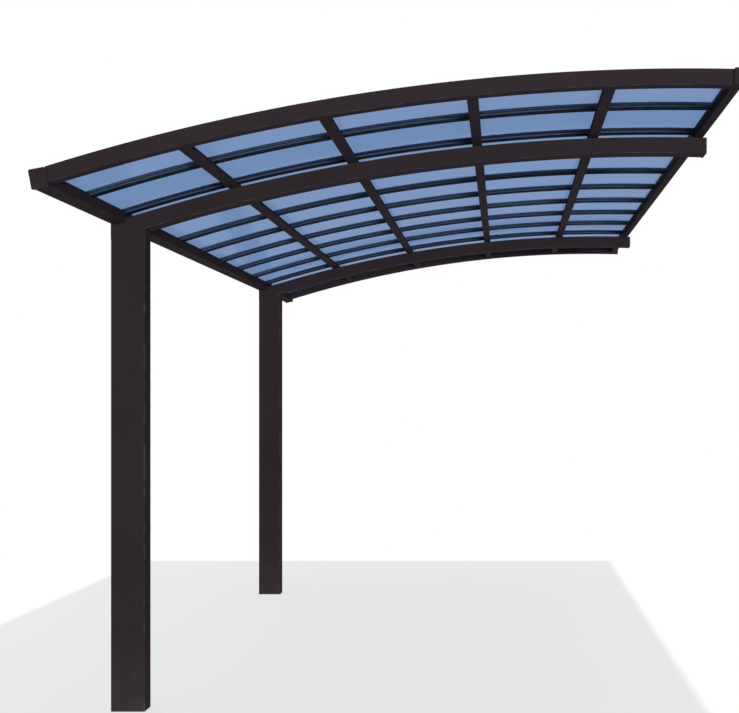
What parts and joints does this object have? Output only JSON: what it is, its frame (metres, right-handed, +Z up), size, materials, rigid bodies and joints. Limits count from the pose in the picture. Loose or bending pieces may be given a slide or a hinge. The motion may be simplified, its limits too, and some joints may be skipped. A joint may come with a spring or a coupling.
{
  "type": "cantilever arched canopy",
  "caption": "Open carport canopy: posts along one side carry curved box arms, purlins and an arched roof of blue clear sheets with a gutter on the low edge.",
  "frame": {"origin": "centre of the front post's foot, on the ground", "axes": "+X from the posts towards the free high edge, +Y along the roof towards the rear post, +Z up"},
  "size_m": [2.9969, 5.5844, 2.9379],
  "materials": {
    "frame": "dark bronze powder-coated aluminium",
    "glazing_bar": "black powder-coated aluminium with rubber seals",
    "roof_sheet": "clear blue-tinted polycarbonate"
  },
  "bodies": {
    "root": {"front_post": "frame", "rear_post": "frame", "front_arm": "frame", "rear_arm": "frame", "arm_end_caps": "frame", "gutter": "frame", "high_beam": "frame", "edge_end_caps": "frame", "front_fascia": "frame", "rear_fascia": "frame", "purlin_1": "frame", "purlin_2": "frame", "purlin_3": "frame", "purlin_4": "frame", "glazing_bar_1": "glazing_bar", "glazing_bar_2": "glazing_bar", "glazing_bar_3": "glazing_bar", "glazing_bar_4": "glazing_bar", "glazing_bar_5": "glazing_bar", "glazing_bar_6": "glazing_bar", "glazing_bar_7": "glazing_bar", "glazing_bar_8": "glazing_bar", "glazing_bar_9": "glazing_bar", "glazing_bar_10": "glazing_bar", "cover_strip_1": "frame", "cover_strip_2": "frame", "cover_strip_3": "frame", "cover_strip_4": "frame", "cover_strip_5": "frame", "cover_strip_6": "frame", "cover_strip_7": "frame", "cover_strip_8": "frame", "cover_strip_9": "frame", "cover_strip_10": "frame", "roof_sheet_1": "roof_sheet", "roof_sheet_2": "roof_sheet", "roof_sheet_3": "roof_sheet", "roof_sheet_4": "roof_sheet", "roof_sheet_5": "roof_sheet", "roof_sheet_6": "roof_sheet", "roof_sheet_7": "roof_sheet", "roof_sheet_8": "roof_sheet", "roof_sheet_9": "roof_sheet", "roof_sheet_10": "roof_sheet", "roof_sheet_11": "roof_sheet"}
  },
  "joints": []
}
